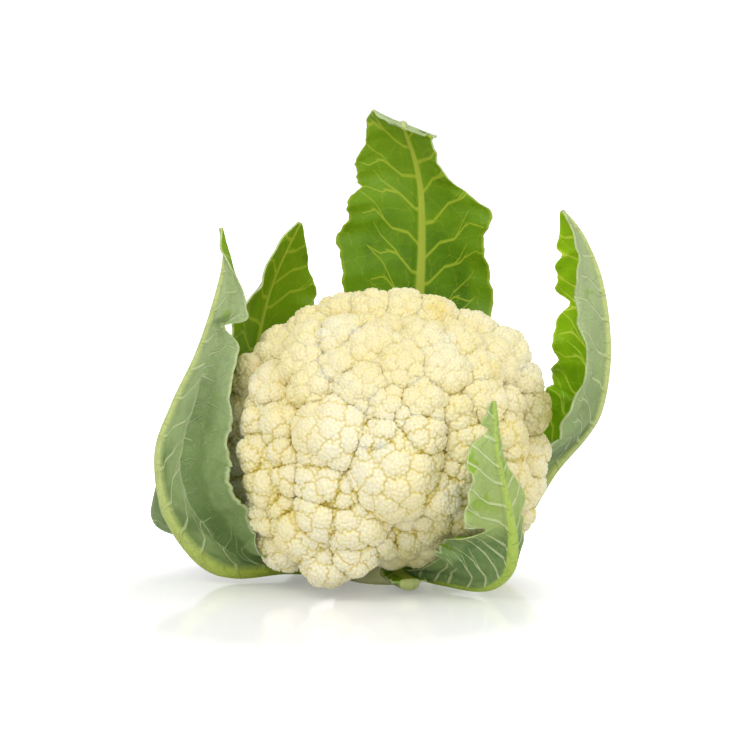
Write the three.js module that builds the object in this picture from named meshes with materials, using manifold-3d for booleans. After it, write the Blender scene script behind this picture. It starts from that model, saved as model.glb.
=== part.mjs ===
// A cauliflower with its leaves left on, standing on its cut stem and leaning a little forward.
// Millimetres, +Z up, front towards -Y. The origin is the centre of the stem's cut face, on the surface.
// The curd is one body: a star-shaped surface round its own centre, raised into main florets and the
// smaller florets that grow on each of them. Every leaf is one body: a blade with its thick midrib.
import * as THREE from "three";
import { ConvexHull } from "three/addons/math/ConvexHull.js";
import { mergeVertices } from "three/addons/utils/BufferGeometryUtils.js";
import Module from "manifold-3d";

const wasm = await Module();
wasm.setup();

// Driving dimensions of the head.
const CURD_CENTRE = new THREE.Vector3(0, -10, 70.5);
const CROWN = new THREE.Vector3(0.05, -0.6, 0.8).normalize();
const CORE_RADIUS = 69; // floor of the creases between the main florets
const HOLLOW_RADIUS = 50; // underside, where the branches run together into the stem
const HOLLOW_ANGLE = 45; // degrees from the stem's direction
const HOLLOW_BLEND = 20;
const HOLLOW_CELLS = 200; // cells that would cover the whole curd at the underside's spacing
const SMOOTHING = [0.3, 0.3]; // share by which each point moves to the mean of its neighbours, step by step
const TOP_SHARE = 0.52; // how far from a small floret's top towards its corners its flat top reaches
const HIDDEN_DEPTH = 1.2; // a small floret whose top lies deeper than this under the others is left out
const CLEARANCE = 0.35; // left between pieces that touch

// Main florets seen from the front and round the outline:
// x and z of the dome's top from the curd's centre, reach from that centre, radius of the dome.
const FRONT_FLORETS = [
  [-33, 12, 86, 23], [3, -9, 86, 28], [-4, 9, 83, 14], [17, 12, 83, 15],
  [27, -20, 82, 15], [-64, 33, 83, 16], [-70, 16, 82, 16], [-57, 15, 83, 14],
  [-71, -5, 86, 15], [-54, 1, 82, 12], [-40, 36, 83, 17], [-26, 44, 82, 14],
  [-14, 37, 83, 16], [-1, 27, 81, 14], [8, 20, 80, 10], [18, 28, 82, 16],
  [36, 21, 80, 15], [7, 45, 81, 21], [29, 44, 82, 19], [48, 42, 81, 19],
  [50, 27, 82, 17], [63, 22, 80, 13], [-10, 55, 80, 20], [-26, 60, 81, 18],
  [-42, 57, 83, 15], [-46, 47, 84, 14], [21, 57, 79, 17], [39, 55, 80, 18],
  [59, 47, 81, 17], [-66, -18, 86, 17], [-51, -13, 82, 13], [-35, -16, 84, 19],
  [-23, -19, 82, 13], [-54, -29, 83, 12], [-66, -36, 86, 15], [-37, -33, 87, 16],
  [-20, -37, 85, 19], [-47, -46, 88, 21], [-20, -55, 86, 15], [-6, -49, 77, 13],
  [8, -47, 76, 14], [24, -38, 78, 17], [43, 4, 82, 17], [38, -9, 81, 15],
  [63, 5, 84, 18], [62, -11, 84, 17], [53, -22, 83, 17], [68, -25, 84, 15],
  [58, -35, 83, 15], [47, -35, 81, 16],
  [79, -10, 81, 18], [76, -27, 82, 18], [69, -43, 83, 17], [79, 17, 82, 14],
  [75, 33, 83, 18], [66, 50, 84, 18], [50, 60, 79, 18], [26, 70, 76, 19],
  [9, 74, 76, 18], [-10, 74, 76, 18], [-28, 71, 77, 18], [-44, 63, 78, 17],
  [-62, 51, 81, 17], [-76, 36, 85, 15], [-82, 12, 84, 18], [-83, -10, 84, 17],
  [-78, -30, 84, 18], [-70, -46, 84, 18], [-60, -57, 88, 17], [-34, -61, 90, 17],
  [-20, -67, 71, 12],
];

// The unseen back follows the golden angle, with the same mean spacing.
const BACK_COUNT = 60;
const BACK_REACH = 80;
const BACK_RADIUS = 21;
const BACK_FLATTENING = 6;
const BACK_SPREAD = 4;
const BACK_SPACING = 17; // least angle, in degrees, to a floret of the list
const STEM_SIDE_LIMIT = -0.62; // no floret closer to the stem than this cosine from the crown

// Small florets on each main one.
const SMALL_SPACING = 13;
const SMALL_RADIUS = 7.8;
const SMALL_RISE = 2.9; // how far they stand out of the main one
const SMALL_CAP = 100; // degrees from the main floret's axis that they cover

// Stem.
const STEM_RADIUS = 22;
const STEM_EDGE = 1.5;
const STEM_TOP_RADIUS = 27;
const STEM_WAIST_HEIGHT = 16;
const STEM_HEIGHT = 52;
const STEM_SIDES = 28;

// Leaves.
const BLADE_THICKNESS = 1.0;
const RIB_OUTER = 0.85; // heights of the midrib on the two faces, as shares of its radius
const RIB_INNER = 0.3;
const RIB_FOOT = 1.25; // half-width of the midrib, as a share of its radius

// Each station of a leaf: x, y, z of the midrib; width, angle and curl of its blade, first on the
// anticlockwise side as seen from above and then on the clockwise side. The angle is how far the blade
// leaves the midrib towards the head, and the curl is how much more it turns by the margin, in degrees.
// turn twists the blade about its midrib, and wave is count, height and phase of the waves in the margin.
// lip is how far the margin bends back out of the head, on the same two sides.
const LEAVES = {
  leaf_left: {
    stations: [
      [-20, 5, 8, 8, 8, 0, 0, 0, 0],
      [-51, -4, 7, 20, 11, 50, 10, 10, 10],
      [-82, -15, 8, 42, 20, 45, 10, 20, 20],
      [-103, -19, 32, 55, 30, 25, -22, 40, 10],
      [-109, -19, 62, 50, 30, 15, 0, 55, 10],
      [-102, -17, 86, 41, 26, 15, 20, 55, 20],
      [-91, -15, 110, 28, 14, 15, 20, 60, 20],
      [-83, -13, 134, 25, 8, 15, 30, 50, 20],
      [-78, -11, 156, 15, 5, 0, 20, 20, 10],
      [-80, -11, 172, 1.5, 1.5, 0, 0, 0, 0],
    ],
    rib: [8.5, 1.0],
    wave: [4, 3.5, 0.3],
    lip: [9, 0],
    turn: [0, 0, 0, 0, 0, 0, 0, 10, 20, 20],
    rows: 26,
  },
  leaf_left_back: {
    stations: [
      [-15, 17, 9, 8, 8, 0, 0, 0, 0],
      [-42, 42, 9, 12, 12, 10, 10, 10, 10],
      [-66, 60, 42, 40, 28, 10, 10, 30, 30],
      [-70, 60, 82, 38, 34, 10, 10, 30, 20],
      [-66, 56, 114, 30, 33, 10, 10, 20, 10],
      [-58, 51, 143, 20, 27, 10, 10, 20, 10],
      [-44, 42, 172, 1.5, 1.5, 0, 0, 0, 0],
    ],
    rib: [8, 1.0],
    wave: [4, 2.5, 0.1],
    lip: [0, 0],
    turn: [0, 0, 0, 0, 0, 0, 0],
    rows: 20,
  },
  leaf_back: {
    stations: [
      [4, 22, 9, 8, 8, 0, 0, 0, 0],
      [9, 52, 10, 13, 13, 10, 10, 10, 10],
      [14, 78, 38, 30, 28, 10, 10, 30, 30],
      [17, 84, 85, 40, 38, 10, 10, 20, 20],
      [17, 84, 128, 42, 41, 5, 5, 10, 10],
      [18, 83, 155, 45, 36, 5, 5, 10, 10],
      [18, 81, 175, 42, 38, 5, 5, 10, 10],
      [17, 79, 191, 36, 19, 5, 5, 10, 10],
      [14, 76, 205, 34, 14, 5, 5, 10, 10],
      [10, 71, 216, 25, 18, 0, 0, 10, 10],
      [8, 64, 221, 18, 18, 0, 0, 0, 0],
      [8, 58, 219, 8, 12, 0, 0, 0, 0],
    ],
    rib: [8.5, 1.0],
    wave: [5, 2, 0.6],
    lip: [0, 0],
    turn: [0, 0, 0, 0, 0, 0, 0, 0, -6, -14, -20, -20],
    rows: 26,
  },
  leaf_right: {
    stations: [
      [20, 9, 9, 8, 8, 0, 0, 0, 0],
      [46, 30, 9, 12, 12, 10, 10, 10, 10],
      [66, 46, 22, 18, 18, 30, 15, 10, 15],
      [83, 49, 47, 26, 42, 50, 20, 15, 20],
      [99, 42, 67, 28, 52, 50, 20, 15, 30],
      [106, 36, 82, 30, 37, 50, 15, 15, 20],
      [109, 28, 110, 31, 22, 50, 20, 15, 15],
      [105, 22, 142, 27, 21, 50, 20, 15, 15],
      [96, 17, 165, 17, 14, 50, 20, 0, 0],
      [85, 12, 179, 1.5, 1.5, 40, 10, 0, 0],
    ],
    rib: [8, 1.0],
    wave: [5, 2.5, 0.2],
    lip: [0, 2],
    turn: [0, 0, -20, -35, -28, -24, -20, -18, -15, 0],
    rows: 26,
  },
  leaf_front: {
    stations: [
      [12, -17, 8, 7, 7, 0, 0, 0, 0],
      [28, -35, 6, 8, 14, 10, 35, 0, 10],
      [45, -52, 6, 6, 33, 10, 36, 10, 10],
      [55, -65, 15, 4, 38, 10, 40, 10, 5],
      [57, -75, 30, 8, 31, 10, 20, 10, 5],
      [54, -82, 48, 15, 26, 10, -5, 10, 0],
      [50, -89, 66, 6, 19, 10, -5, 0, 5],
      [48, -93, 80, 3, 14, 0, 0, 0, 10],
      [47, -96, 98, 1.5, 1.5, 0, 0, 0, 0],
    ],
    rib: [6, 0.8],
    wave: [4, 2.5, 0.4],
    lip: [0, 0],
    turn: [0, 0, 0, 0, 0, 0, 0, 0, 0],
    rows: 22,
  },
  stalk_stub: {
    stations: [
      [2, -20, 8, 6, 6, 0, 0, 0, 0],
      [6, -32, 6, 8, 8, 0, 0, 0, 0],
      [10, -46, 6, 9, 9, 0, 0, 10, 10],
    ],
    rib: [6, 4],
    wave: [1, 0.5, 0.3],
    lip: [0, 0],
    turn: [0, 0, 0],
    rows: 4,
  },
};
const BLADE_COLUMNS = 4; // on each side of the midrib
const CURL_STEPS = 12;
const WAVE_START = 2.2; // power by which the waves grow towards the margin
const WAVE_SIDE_SHIFT = 0.27;
const WAVE_FULL_WIDTH = 20;
const WAVE_STALK = 0.2; // share of the leaf's length over which the waves set in
const LIP_START = 0.6; // share of the width at which the lip begins
const LIP_POWER = 1.2;
const RIB_TAPER = 0.55; // power by which the midrib thins towards the tip
const NOTCHES = [[7.3, 0.03], [11.1, 0.02]]; // how often and how deep the margin is cut in, as a share

const GOLDEN_ANGLE = Math.PI * (3 - Math.sqrt(5));

// Repeatable draw between 0 and 1 for the item with these two numbers.
function draw(item, kind) {
  const v = Math.sin(item * 12.9898 + kind * 78.233 + 3.7) * 43758.5453;
  return v - Math.floor(v);
}

function smoothStep(x) {
  const t = Math.min(1, Math.max(0, x));
  return t * t * (3 - 2 * t);
}

// Two unit vectors square to the given one.
function crossAxes(axis) {
  const side = new THREE.Vector3(1, 0, 0);
  if (Math.abs(axis.x) > 0.8) side.set(0, 1, 0);
  const first = new THREE.Vector3().crossVectors(axis, side).normalize();
  return [first, new THREE.Vector3().crossVectors(axis, first)];
}

function angleBetween(a, b) {
  return THREE.MathUtils.radToDeg(Math.acos(THREE.MathUtils.clamp(a.dot(b), -1, 1)));
}

// A dome of the curd is a ball: its axis from the curd's centre, how far off its middle is, its radius.
function ball(axis, distance, radius) {
  return { centre: axis.clone().multiplyScalar(distance), axis, radius };
}

function mainFlorets() {
  const front = FRONT_FLORETS.map(([x, z, reach, radius]) => {
    const depth = Math.sqrt(Math.max(reach * reach - x * x - z * z, 0));
    return ball(new THREE.Vector3(x, -depth, z).normalize(), reach - radius, radius - SMALL_RISE);
  });
  const [first, second] = crossAxes(CROWN);
  const back = [];
  for (let k = 0; k < BACK_COUNT; k++) {
    const rise = 1 - (2 * (k + 0.5)) / BACK_COUNT;
    const turn = GOLDEN_ANGLE * k;
    const spread = Math.sqrt(1 - rise * rise);
    const axis = CROWN.clone()
      .multiplyScalar(rise)
      .addScaledVector(first, Math.cos(turn) * spread)
      .addScaledVector(second, Math.sin(turn) * spread);
    const crowded = front.some((f) => angleBetween(f.axis, axis) < BACK_SPACING);
    if (rise < STEM_SIDE_LIMIT || axis.y < 0 || crowded) continue;
    const flattening = BACK_FLATTENING * Math.max(axis.z, 0) ** 2;
    const reach = BACK_REACH - flattening + BACK_SPREAD * (draw(k, 1) - 0.5);
    const radius = BACK_RADIUS + BACK_SPREAD * (draw(k, 2) - 0.5);
    back.push(ball(axis, reach - radius, radius - SMALL_RISE));
  }
  return [...front, ...back];
}

// Small florets spiral out from the axis of the main floret.
function smallFlorets(mains) {
  const smalls = [];
  mains.forEach((main, m) => {
    const cap = 1 - Math.cos(THREE.MathUtils.degToRad(SMALL_CAP));
    const area = 2 * Math.PI * main.radius ** 2 * cap;
    const count = Math.round(area / (SMALL_SPACING ** 2 * 0.87));
    const [first, second] = crossAxes(main.axis);
    for (let k = 0; k < count; k++) {
      const tilt = Math.acos(1 - (cap * (k + 0.5)) / count);
      const turn = GOLDEN_ANGLE * k + 6.28 * draw(m, 3) + 0.3 * (draw(k, m + 5) - 0.5);
      const out = main.axis
        .clone()
        .multiplyScalar(Math.cos(tilt))
        .addScaledVector(first, Math.sin(tilt) * Math.cos(turn))
        .addScaledVector(second, Math.sin(tilt) * Math.sin(turn));
      const radius = SMALL_RADIUS * (0.94 + 0.12 * draw(k, m + 9));
      const centre = main.centre.clone().addScaledVector(out, main.radius + SMALL_RISE - radius);
      smalls.push({ centre, axis: centre.clone().normalize(), radius });
    }
  });
  return smalls;
}

// How far the curd's surface is from its centre in this direction.
function curdReach(direction, balls) {
  const fromStem = angleBetween(direction, CROWN.clone().negate());
  const full = smoothStep((fromStem - HOLLOW_ANGLE) / HOLLOW_BLEND);
  let reach = HOLLOW_RADIUS + (CORE_RADIUS - HOLLOW_RADIUS) * full;
  for (const b of balls) {
    const along = direction.dot(b.centre);
    if (along < 0) continue;
    const inside = b.radius ** 2 - b.centre.lengthSq() + along * along;
    if (inside > 0) reach = Math.max(reach, along + Math.sqrt(inside));
  }
  return reach;
}

// Directions from the curd's centre at which its cells stand: the tops of the small florets that show,
// and an even spread over the bare underside.
function cellDirections(domes, smalls) {
  const directions = [];
  const keepApart = Math.cos((0.5 * SMALL_SPACING) / BACK_REACH);
  const addIfApart = (direction) => {
    if (directions.every((d) => d.dot(direction) < keepApart)) directions.push(direction);
  };
  for (const small of smalls) {
    const reach = small.centre.length() + small.radius;
    if (curdReach(small.axis, domes) - reach < HIDDEN_DEPTH) addIfApart(small.axis);
  }
  for (let k = 0; k < HOLLOW_CELLS; k++) {
    const rise = 1 - (2 * (k + 0.5)) / HOLLOW_CELLS;
    const spread = Math.sqrt(1 - rise * rise);
    const turn = GOLDEN_ANGLE * k;
    const direction = new THREE.Vector3(Math.cos(turn) * spread, Math.sin(turn) * spread, rise);
    if (direction.dot(CROWN) < STEM_SIDE_LIMIT) addIfApart(direction);
  }
  return directions;
}

// Each cell as the ring of corners it shares with its neighbours, anticlockwise as seen from outside.
function cellsOf(directions) {
  const hull = new ConvexHull().setFromPoints(directions);
  const corners = hull.faces.map((face) => face.normal.clone().normalize());
  const cells = directions.map(() => []);
  hull.faces.forEach((face, corner) => {
    let edge = face.edge;
    do {
      cells[directions.indexOf(edge.head().point)].push(corner);
      edge = edge.next;
    } while (edge !== face.edge);
  });
  const rings = cells.map((ring, c) => {
    const [first, second] = crossAxes(directions[c]);
    const bearing = (corner) => Math.atan2(corners[corner].dot(second), corners[corner].dot(first));
    return ring.sort((a, b) => bearing(a) - bearing(b));
  });
  return { corners, rings };
}

// Moves each point by a share of the way to the mean of its neighbours.
function smooth(positions, index, share) {
  const sums = new Float64Array(positions.length);
  const counts = new Float64Array(positions.length / 3);
  for (let i = 0; i < index.length; i += 3) {
    for (const [a, b] of [[0, 1], [1, 2], [2, 0]]) {
      const [from, to] = [index[i + a], index[i + b]];
      counts[from] += 1;
      for (let c = 0; c < 3; c++) sums[3 * from + c] += positions[3 * to + c];
    }
  }
  positions.forEach((value, i) => {
    positions[i] = value + share * (sums[i] / counts[Math.floor(i / 3)] - value);
  });
}

// The curd's surface, moved out by grow. Each cell is a flat-topped dome that slopes down to its corners.
function curdGeometry(domes, cells, grow) {
  const positions = [];
  const index = [];
  const place = (direction) => {
    const point = direction.clone().normalize();
    point.multiplyScalar(curdReach(point, domes) + grow).add(CURD_CENTRE);
    return positions.push(point.x, point.y, point.z) / 3 - 1;
  };
  const corners = cells.corners.map(place);
  cells.rings.forEach((ring, c) => {
    const top = place(cells.directions[c]);
    const edge = ring.map((corner) => place(cells.directions[c].clone().lerp(cells.corners[corner], TOP_SHARE)));
    ring.forEach((corner, k) => {
      const next = (k + 1) % ring.length;
      const [a, b] = [corners[corner], corners[ring[next]]];
      index.push(top, edge[k], edge[next], edge[k], a, b, edge[k], b, edge[next]);
    });
  });
  SMOOTHING.forEach((share) => smooth(positions, index, share));
  const geometry = new THREE.BufferGeometry();
  geometry.setAttribute("position", new THREE.Float32BufferAttribute(positions, 3));
  geometry.setIndex(index);
  return geometry;
}

// The stem, with its sides moved out by grow.
function stemGeometry(grow) {
  const profile = [
    [0, 0],
    [STEM_RADIUS - STEM_EDGE + grow, 0],
    [STEM_RADIUS + grow, STEM_EDGE],
    [STEM_RADIUS + grow, STEM_WAIST_HEIGHT],
    [STEM_TOP_RADIUS + grow, STEM_HEIGHT],
    [0, STEM_HEIGHT],
  ].map(([radius, height]) => new THREE.Vector2(radius, height));
  return new THREE.LatheGeometry(profile, STEM_SIDES).rotateX(Math.PI / 2);
}

// Smooth line through the rows of a table, at u from 0 to 1.
function tableAt(table, u) {
  const last = table.length - 1;
  const x = THREE.MathUtils.clamp(u, 0, 1) * last;
  const i = Math.min(Math.floor(x), last - 1);
  const f = x - i;
  const row = (k) => table[THREE.MathUtils.clamp(k, 0, last)];
  return table[0].map((_, c) => {
    const [a, b, d, e] = [row(i - 1)[c], row(i)[c], row(i + 1)[c], row(i + 2)[c]];
    return 0.5 * (2 * b + (d - a) * f + (2 * a - 5 * b + 4 * d - e) * f ** 2 + (3 * b - a - 3 * d + e) * f ** 3);
  });
}

// Section of a leaf at u: place of the midrib, the way out of the head and the way to the side.
function leafSection(leaf, u) {
  const step = 0.5 / leaf.rows;
  const at = (x) => new THREE.Vector3(...tableAt(leaf.stations, x));
  const place = at(u);
  const along = at(Math.min(u + step, 1)).sub(at(Math.max(u - step, 0))).normalize();
  const out = place.clone().sub(CURD_CENTRE);
  out.addScaledVector(along, -out.dot(along)).normalize();
  const side = new THREE.Vector3().crossVectors(along, out);
  const turn = THREE.MathUtils.degToRad(tableAt(leaf.turn.map((t) => [t]), u)[0]);
  const turned = out.multiplyScalar(Math.cos(turn)).addScaledVector(side, Math.sin(turn));
  side.crossVectors(along, turned);
  return { place, out: turned, side };
}

// Point of the blade and its outward direction, at u along the leaf and share of the way to the margin.
// sign is 1 on the anticlockwise side and -1 on the other.
function bladePoint(leaf, section, u, share, sign, grow) {
  const row = tableAt(leaf.stations, u);
  const [full, angle, curl] = sign > 0 ? [row[3], row[5], row[7]] : [row[4], row[6], row[8]];
  const cut = NOTCHES.reduce((sum, [often, deep]) => sum + deep * (1 + Math.sin(6.28 * often * u + 2 * sign)), 0);
  const width = grow + full * (1 - cut * Math.min(u / WAVE_STALK, 1));
  const start = THREE.MathUtils.degToRad(angle);
  const bend = THREE.MathUtils.degToRad(curl) * share;
  let [across, inward] = [0, 0];
  for (let i = 0; i < CURL_STEPS; i++) {
    const heading = start + (bend * (i + 0.5)) / CURL_STEPS;
    across += (Math.cos(heading) * width * share) / CURL_STEPS;
    inward += (Math.sin(heading) * width * share) / CURL_STEPS;
  }
  const normal = section.out
    .clone()
    .multiplyScalar(Math.cos(start + bend))
    .addScaledVector(section.side, sign * Math.sin(start + bend));
  const [waves, height, phase] = leaf.wave;
  const swing = Math.sin(2 * Math.PI * (waves * u + phase + WAVE_SIDE_SHIFT * sign));
  const setIn = Math.min(width / WAVE_FULL_WIDTH, 1) * Math.min(u / WAVE_STALK, 1);
  const lip = leaf.lip[sign > 0 ? 0 : 1] * (Math.max(share - LIP_START, 0) / (1 - LIP_START)) ** LIP_POWER;
  const ripple = (height * share ** WAVE_START * swing + lip) * setIn;
  const point = section.place
    .clone()
    .addScaledVector(section.side, sign * across)
    .addScaledVector(section.out, -inward)
    .addScaledVector(normal, ripple);
  return { point, normal, width };
}

// Distances across the leaf, from one margin to the other, as shares of the widths.
function columnShares(ribHalf, width) {
  const foot = Math.min(ribHalf / width, 0.6);
  const shares = [0, 0.55 * foot, foot];
  for (let i = 1; i <= BLADE_COLUMNS; i++) shares.push(foot + ((1 - foot) * i) / BLADE_COLUMNS);
  return shares;
}

// A leaf, with its faces moved out by grow.
function leafGeometry(leaf, grow) {
  const outer = [];
  const inner = [];
  for (let i = 0; i <= leaf.rows; i++) {
    const u = i / leaf.rows;
    const section = leafSection(leaf, u);
    const radius = grow + leaf.rib[0] + (leaf.rib[1] - leaf.rib[0]) * u ** RIB_TAPER;
    const outerRow = [];
    const innerRow = [];
    for (const sign of [-1, 1]) {
      const width = bladePoint(leaf, section, u, 1, sign, grow).width;
      const shares = columnShares(RIB_FOOT * radius, width);
      const half = shares.map((share) => {
        const { point, normal } = bladePoint(leaf, section, u, share, sign, grow);
        const offset = (share * width) / (RIB_FOOT * radius);
        const dome = Math.sqrt(Math.max(1 - offset * offset, 0)) * radius;
        return [
          point.clone().addScaledVector(normal, BLADE_THICKNESS / 2 + grow + RIB_OUTER * dome),
          point.clone().addScaledVector(normal, -BLADE_THICKNESS / 2 - grow - RIB_INNER * dome),
        ];
      });
      if (sign < 0) half.reverse();
      else half.shift();
      outerRow.push(...half.map((h) => h[0]));
      innerRow.push(...half.map((h) => h[1]));
    }
    outer.push(outerRow);
    inner.push(innerRow);
  }
  return closedSheet(outer, inner);
}

// Closed body between two grids of points, the first one being the outer face.
function closedSheet(outer, inner) {
  const rows = outer.length;
  const columns = outer[0].length;
  const positions = [...outer.flat(), ...inner.flat()].flatMap((p) => [p.x, p.y, p.z]);
  const at = (layer, i, j) => layer * rows * columns + i * columns + j;
  const index = [];
  const quad = (a, b, c, d) => index.push(a, b, c, a, c, d);
  const lastRow = rows - 1;
  const lastColumn = columns - 1;
  for (let i = 0; i < lastRow; i++) {
    for (let j = 0; j < lastColumn; j++) {
      quad(at(0, i, j), at(0, i, j + 1), at(0, i + 1, j + 1), at(0, i + 1, j));
      index.push(at(1, i, j), at(1, i + 1, j + 1), at(1, i, j + 1));
      index.push(at(1, i, j), at(1, i + 1, j), at(1, i + 1, j + 1));
    }
    quad(at(0, i, 0), at(0, i + 1, 0), at(1, i + 1, 0), at(1, i, 0));
    quad(at(0, i, lastColumn), at(1, i, lastColumn), at(1, i + 1, lastColumn), at(0, i + 1, lastColumn));
  }
  for (let j = 0; j < lastColumn; j++) {
    quad(at(0, 0, j), at(1, 0, j), at(1, 0, j + 1), at(0, 0, j + 1));
    quad(at(0, lastRow, j), at(0, lastRow, j + 1), at(1, lastRow, j + 1), at(1, lastRow, j));
  }
  const geometry = new THREE.BufferGeometry();
  geometry.setAttribute("position", new THREE.Float32BufferAttribute(positions, 3));
  geometry.setIndex(index);
  return geometry;
}

function solidFrom(geometry) {
  const bare = geometry.clone();
  bare.deleteAttribute("normal");
  bare.deleteAttribute("uv");
  const merged = mergeVertices(bare, 1e-3);
  return new wasm.Manifold(
    new wasm.Mesh({
      numProp: 3,
      vertProperties: new Float32Array(merged.attributes.position.array),
      triVerts: new Uint32Array(merged.index.array),
    }),
  );
}

function geometryFrom(solid) {
  const mesh = solid.getMesh();
  const geometry = new THREE.BufferGeometry();
  geometry.setAttribute("position", new THREE.Float32BufferAttribute(mesh.vertProperties, 3));
  geometry.setIndex(new THREE.BufferAttribute(mesh.triVerts, 1));
  return geometry;
}

// The largest body that is left of a solid once the cutters are taken out of it.
function largestLeft(solid, cutters) {
  const left = cutters.reduce((s, cutter) => s.subtract(cutter), solid);
  return left.decompose().reduce((a, b) => (b.volume() > a.volume() ? b : a));
}

function material(colour, roughness) {
  return new THREE.MeshStandardMaterial({ color: colour, roughness, metalness: 0 });
}

const curdMaterial = material(0xf3eac2, 0.75);
const stemMaterial = material(0xc9cf8e, 0.6);
const leafMaterial = material(0x6f9a4a, 0.55);

const cauliflower = new THREE.Group();
cauliflower.name = "cauliflower";

function addPiece(name, geometry, finish) {
  const piece = new THREE.Mesh(geometry, finish);
  piece.name = name;
  cauliflower.add(piece);
}

const mains = mainFlorets();
const smalls = smallFlorets(mains);
const domes = [...mains, ...smalls];
const directions = cellDirections(domes, smalls);
const cells = { directions, ...cellsOf(directions) };
addPiece("curd", curdGeometry(domes, cells, 0), curdMaterial);
const curdCutter = solidFrom(curdGeometry(domes, cells, CLEARANCE));

const stem = largestLeft(solidFrom(stemGeometry(0)), [curdCutter]);
addPiece("stem", geometryFrom(stem), stemMaterial);

const cutters = [curdCutter, solidFrom(stemGeometry(CLEARANCE))];
for (const [name, leaf] of Object.entries(LEAVES)) {
  const solid = largestLeft(solidFrom(leafGeometry(leaf, 0)), cutters);
  addPiece(name, geometryFrom(solid), leafMaterial);
  cutters.push(solidFrom(leafGeometry(leaf, CLEARANCE)));
}

export default cauliflower;
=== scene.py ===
"""A cauliflower with its outer leaves on a white surface.

The curd is built of domes on three levels: main florets, small florets on each of them and buds on those.
Every leaf is a blade with a thick midrib, from a table of stations along the midrib.
Lengths in the tables are millimetres. The scene is in metres, +Z up, with the front towards -Y.
"""

import math

import bmesh
import bpy
import numpy as np
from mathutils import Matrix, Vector


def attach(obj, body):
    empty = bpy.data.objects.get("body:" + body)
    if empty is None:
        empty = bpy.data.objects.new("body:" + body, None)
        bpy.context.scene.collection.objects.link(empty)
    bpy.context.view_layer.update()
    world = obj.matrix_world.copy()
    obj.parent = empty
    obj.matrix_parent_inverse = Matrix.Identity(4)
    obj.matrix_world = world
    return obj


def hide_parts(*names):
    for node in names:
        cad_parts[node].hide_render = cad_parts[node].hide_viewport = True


MM = 0.001

# Angle between the places of a spiral, and one turn, in radians. TURN stays rounded as it is, because the
# places of the small florets and the leaves' margins follow from it.
GOLDEN_ANGLE = math.pi * (3 - math.sqrt(5))
TURN = 6.28

# Draws: the numbers that scramble them, and the kind of each use. A floret's buds count as other items.
DRAW_WAVES = (12.9898, 78.233)
DRAW_START = 3.7
DRAW_SCALE = 43758.5453
DRAW_REACH = 1
DRAW_RADIUS = 2
DRAW_TURN = 3
DRAW_SMALL_STEP = 9
DRAW_SHIFTS = (11, 12, 13)
DRAW_BUD_STEP = 29
BUD_ITEMS = 50

# Curd: x and z of each front dome's top from the curd's centre, its reach from that centre, its radius.
CURD_CENTRE = np.array([0, -10, 70.5])
CROWN = np.array([0.05, -0.6, 0.8]) / np.linalg.norm([0.05, -0.6, 0.8])
FRONT_FLORETS = [
    (-33, 12, 86, 23), (3, -9, 86, 28), (-4, 9, 83, 14), (17, 12, 83, 15),
    (27, -20, 82, 15), (-64, 33, 83, 16), (-70, 16, 82, 16), (-57, 15, 83, 14),
    (-71, -5, 86, 15), (-54, 1, 82, 12), (-40, 36, 83, 17), (-26, 44, 82, 14),
    (-14, 37, 83, 16), (-1, 27, 81, 14), (8, 20, 80, 10), (18, 28, 82, 16),
    (36, 21, 80, 15), (7, 45, 81, 21), (29, 44, 82, 19), (48, 42, 81, 19),
    (50, 27, 82, 17), (63, 22, 80, 13), (-10, 55, 80, 20), (-26, 60, 81, 18),
    (-42, 57, 83, 15), (-46, 47, 84, 14), (21, 57, 79, 17), (39, 55, 80, 18),
    (59, 47, 81, 17), (-66, -18, 86, 17), (-51, -13, 82, 13), (-35, -16, 84, 19),
    (-23, -19, 82, 13), (-54, -29, 83, 12), (-66, -36, 86, 15), (-37, -33, 87, 16),
    (-20, -37, 85, 19), (-47, -46, 88, 21), (-20, -55, 86, 15), (-6, -49, 77, 13),
    (8, -47, 73, 14), (24, -38, 74, 17), (43, 4, 82, 17), (38, -9, 81, 15),
    (63, 5, 84, 18), (62, -11, 84, 17), (53, -22, 83, 17), (68, -25, 84, 15),
    (58, -35, 83, 15), (47, -35, 81, 16),
    (79, -10, 81, 18), (76, -27, 82, 18), (69, -43, 83, 17), (79, 18, 83, 16),
    (75, 33, 83, 18), (66, 50, 84, 18), (50, 60, 79, 18), (26, 70, 76, 19),
    (9, 74, 76, 18), (-10, 74, 76, 18), (-28, 71, 77, 18), (-44, 63, 78, 17),
    (-62, 51, 81, 17), (-76, 36, 85, 15), (-82, 12, 84, 18), (-83, -10, 84, 17),
    (-78, -30, 84, 18), (-70, -46, 84, 18), (-60, -57, 88, 17), (-34, -61, 90, 17),
    (-20, -67, 71, 12),
]
# Painted shade in front: dull yellow spots where florets lie in shade, each with x and z from the curd's
# centre, strength and reach. They end at the depth set next.
SHADE_SPOTS = [(82, 15, 1.0, 29), (27, -42, 0.55, 26), (8, -50, 0.5, 20), (-18, -70, 0.45, 18)]
SHADE_SPOTS_DEPTH = 20

# Back florets stand on a spiral round the crown. BACK_SPACING is in degrees from those in front.
BACK_COUNT = 60
BACK_REACH = 80
BACK_RADIUS = 21
BACK_FLATTENING = 6
BACK_SPREAD = 4
BACK_SPACING = 17
STEM_SIDE_LIMIT = -0.62

# Core: a ball under the florets, hollow round the stem. Angles are degrees from the stem.
CORE_RADIUS = 69
HOLLOW_RADIUS = 50
HOLLOW_ANGLE = 45
HOLLOW_BLEND = 20

# Small florets: how far they rise over a main one, the cap that they cover in degrees, their spacing on
# low and on high main florets, and their jitter, dome, step and crease.
SMALL_RISE = 2.9
SMALL_CAP = 115
SMALL_SPACING_LOW = 13
SMALL_SPACING_HIGH = 9.5
SMALL_JITTER = 0.7
SMALL_DOME = 1.1
SMALL_LIMIT = 1.4
SMALL_STEP = 0.9
SMALL_CREASE = 0.55
SMALL_CREASE_WIDTH = 0.6

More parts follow.
